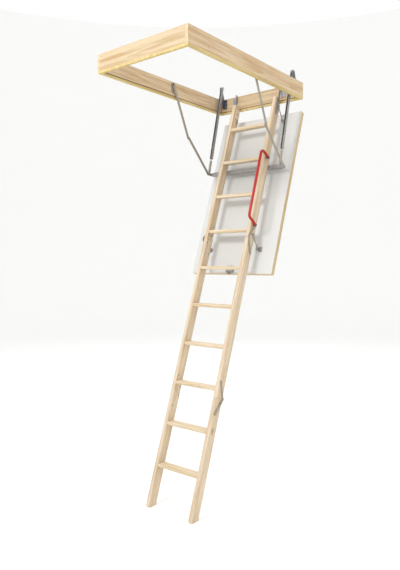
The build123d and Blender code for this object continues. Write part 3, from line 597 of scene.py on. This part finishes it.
rail = rounded_path(rail_corners, bend_radius / MM)
segment = np.linalg.norm(np.diff(rail, axis=0), axis=1)
run = np.concatenate([[0], np.cumsum(segment)])
end_stations = np.linspace(0, end_length, 9)
stations = np.unique(np.concatenate([run, end_stations, run[-1] - end_stations]))
rail = np.stack([np.interp(stations, run, rail[:, k]) for k in (0, 1)], 1)
from_end = np.minimum(stations, run[-1] - stations)
rounding = np.clip((from_end - flat_length) / flare_length, 0, 1)
rounding = rounding * rounding * (3 - 2 * rounding)
through = flat_half_thickness + (tube_radius - flat_half_thickness) * rounding
across = flat_half_width - (flat_half_width - tube_radius) * rounding
handrail = mesh_piece("handrail_tube", [tube_in_plane(ladder_path(rail), rail_y, across, through)])
# Powder coat is a smooth half-gloss plastic skin.
red_coat = plain_material("red powder coat", "#B0130C", 0.33)
finish_piece(handrail, red_coat, "ladder_top", "handrail_red", "handrail")

spacer_parts = []
spacer_length = rail_y - flat_half_thickness - stile_outer
flat_face = rail_y + flat_half_thickness
for x, z in ladder_path([(427, -24), (921, -28)]):
    spacer_parts.append(
        turned_part((x, stile_outer, z), (0, 1, 0), [(0, spacer_radius), (spacer_length, spacer_radius)])
    )
    spacer_parts.append(domed_head((x, flat_face, z), (0, 1, 0), rail_head_radius, rail_head_height))
spacers = mesh_piece("handrail_bolts", spacer_parts)
finish_piece(spacers, dark_zinc, "ladder_top", "zinc_steel", "handrail_spacers")

# ---- Hatch --------------------------------------------------------------------------------------------
# Insulated panel: two white coated boards on a pine batten frame. The coating is smooth and dull, and
# the batten edges are left bare.
white_coat = plain_material("white coated fibreboard", "#D2D2D0", 0.5)
batten_pine = planed_pine("planed pine, hatch battens", "#CDB88C", "#B79C6E", "#8A6A44", ALONG_LADDER, 5.2)
foam_board = plain_material("cream foam board", "#E6DFC8", 0.85)
for node in ("hatch_skin_inner", "hatch_skin_outer"):
    softened(node, f"{node}_board", 0.6 * MM, white_coat, "hatch", "hatch_white")
softened("hatch_edge_frame", "hatch_battens", 0.5 * MM, batten_pine, "hatch", "hatch_batten")
keep_node("hatch_core", foam_board)
softened("hatch_link_brackets", "hatch_angle_brackets", plate_edge, grey_zinc, "hatch", "dark_steel")
softened("latch_case", "latch_cover", 1.5 * MM, grey_zinc, "hatch", "dark_steel")
softened("latch_bolt", "latch_tongue", 1.2 * MM, yellow_zinc, "latch_bolt", "zinc_steel")

# ---- Hatch links --------------------------------------------------------------------------------------
# Round steel rods that carry the hatch, with each end curled round its pin.
link_y = 195 * MM
wire = 3.6 * MM
curl_radius = 6.5 * MM
link_half_width = 6.0 * MM
curl_turn = np.linspace(-0.5 * np.pi, 1.2 * np.pi, 26)[:, None]
for level in ("upper", "lower"):
    pin = joint_places[f"{level}_link_swing"]
    link_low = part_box(f"{level}_hatch_links")[0]
    start = np.array([pin.x, pin.z])
    end = np.array([link_low.x + link_half_width, link_low.z + link_half_width])
    way = (end - start) / np.linalg.norm(end - start)
    side_way = np.array([-way[1], way[0]])
    curl = curl_radius * (np.cos(curl_turn) * way + np.sin(curl_turn) * side_way)
    path = np.concatenate([(start - curl)[::-1], end + curl])
    size = np.full(len(path), wire)
    rods = [tube_in_plane(path, side * link_y, size, size, steps=12) for side in (-1, 1)]
    links = mesh_piece(f"{level}_link_rods", rods)
    finish_piece(links, grey_zinc, f"{level}_links", "dark_steel", f"{level}_hatch_links")

# ---- Folding stays ------------------------------------------------------------------------------------
# Flat steel bars in two lengths, riveted at the knee. They stop the ladder at its working slope.
softened("upper_stays", "upper_stay_bars", plate_edge, yellow_zinc, "upper_stays", "zinc_steel")
softened("lower_stays", "lower_stay_bars", plate_edge, yellow_zinc, "lower_stays", "zinc_steel")

# ---- Spring arms --------------------------------------------------------------------------------------
# Channels hang from the tall brackets. A coil spring in each pulls the crossbar's rod upwards. Each
# coil is a helix: the wire's middle turns round the slide's axis at an even pitch.
softened("spring_arms", "arm_channels", 0.6 * MM, grey_zinc, "spring_arms", "dark_steel")
softened("spring_rods", "arm_pull_rods", 0.5 * MM, yellow_zinc, "spring_rods", "dark_steel")

low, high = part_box("arm_springs")
slide_axis = next(Vector(joint["axis"]) for joint in frame["joints"] if joint["name"] == "rod_slide")
slide_axis.normalize()
spring_outer = 5.4 * MM
coil_wire = 1.0 * MM
coil_pitch = 3.4 * MM
across_slide = slide_axis.cross(Vector((0, 1, 0)))
spring_x = spring_outer * abs(slide_axis.z)
spring_z = spring_outer * abs(slide_axis.x)
spring_top = np.array([low.x + spring_x, 0, high.z - spring_z])
spring_low = np.array([high.x - spring_x, 0, low.z + spring_z])
spring_length = np.linalg.norm(spring_low - spring_top)
turns = spring_length / coil_pitch
steps_round = 14
t = np.linspace(0, 1, int(turns * steps_round))
phase = 2 * np.pi * turns * t
spring_y = high.y - spring_outer
axis = np.array(slide_axis)
sideways = np.array([0, 1, 0])
outward = np.cos(phase)[:, None] * np.array(across_slide) + np.sin(phase)[:, None] * sideways
middle_line = spring_top + t[:, None] * (spring_low - spring_top) + outward * (spring_outer - coil_wire)
round_wire = np.arange(6) * np.pi / 3
wire_ring = (
    coil_wire * np.cos(round_wire)[None, :, None] * outward[:, None]
    + coil_wire * np.sin(round_wire)[None, :, None] * axis
)
coils = []
for side in (-1, 1):
    coils.append(surface((middle_line + side * spring_y * sideways)[:, None] + wire_ring))
springs = mesh_piece("coil_springs", coils)
spring_steel = plain_material("oiled spring steel", "#5C5A58", 0.35, metallic=0.9)
springs.data.materials.append(spring_steel)
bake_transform(springs, "spring_arms", "spring_rods", start=tuple(spring_low), end=tuple(spring_top))
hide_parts("arm_springs")

# ---- Studio -------------------------------------------------------------------------------------------
# Pale floor that curves up into a round wall. One light stands high in front, a larger one at the
# handrail's side and the largest behind.
floor_z = cad_box[0].z
floor_radius = 9.0
sweep_radius = 3.0
wall_height = 8.0
hub_radius = 0.05
bowl_steps = 96
bend = np.linspace(0, np.pi / 2, 16)
rows = np.concatenate([
    [[hub_radius, 0], [floor_radius, 0]],
    np.stack([floor_radius + sweep_radius * np.sin(bend), sweep_radius * (1 - np.cos(bend))], 1)[1:],
    [[floor_radius + sweep_radius, wall_height]],
])
angle = np.arange(bowl_steps) * 2 * np.pi / bowl_steps
bowl = np.empty((len(rows), bowl_steps, 3))
bowl[:, :, 0] = rows[:, :1] * np.cos(angle)
bowl[:, :, 1] = rows[:, :1] * np.sin(angle)
bowl[:, :, 2] = floor_z + rows[:, 1:]
bowl_points, bowl_faces = surface(bowl, caps=False)
bowl_faces.append(list(range(bowl_steps)))
floor = mesh_piece("studio_floor", [(bowl_points, bowl_faces)])
floor.data.materials.append(plain_material("pale studio paper", "#FBFBFA", 0.95))

world = bpy.data.worlds.new("studio air")
world.use_nodes = True
world.node_tree.nodes["Background"].inputs["Color"].default_value = (1, 1, 1, 1)
world.node_tree.nodes["Background"].inputs["Strength"].default_value = 1.0
bpy.context.scene.world = world
bpy.context.scene.view_settings.view_transform = "Standard"

target = Vector((-0.25, 0, -1.2))
for name, place, size, power in (
    ("key", (3.4, -0.6, 1.4), 1.0, 78),
    ("fill", (1.2, 4.6, 0.0), 3.2, 25),
    ("back", (-4.0, -2.5, 1.5), 3.5, 50),
):
    light = bpy.data.lights.new(name, "AREA")
    light.size = size
    light.energy = power
    lamp = bpy.data.objects.new(name, light)
    lamp.location = place
    lamp.rotation_mode = "QUATERNION"
    lamp.rotation_quaternion = (target - Vector(place)).to_track_quat("-Z", "Y")
    bpy.context.collection.objects.link(lamp)

yaw, pitch, roll = math.radians(38.61), math.radians(-2.61), math.radians(-0.21)
camera_data = bpy.data.cameras.new("camera")
camera_data.sensor_width = 36.0
camera_data.lens = 34.66
camera_data.clip_end = 60
camera = bpy.data.objects.new("camera", camera_data)
ahead = Vector((-math.cos(yaw) * math.cos(pitch), -math.sin(yaw) * math.cos(pitch), math.sin(pitch)))
camera.location = (2.8374, 2.1929, -1.1079)
camera.rotation_mode = "QUATERNION"
upright = ahead.to_track_quat("-Z", "Y")
camera.rotation_quaternion = upright @ Matrix.Rotation(roll, 3, "Z").to_quaternion()
bpy.context.collection.objects.link(camera)
bpy.context.scene.camera = camera
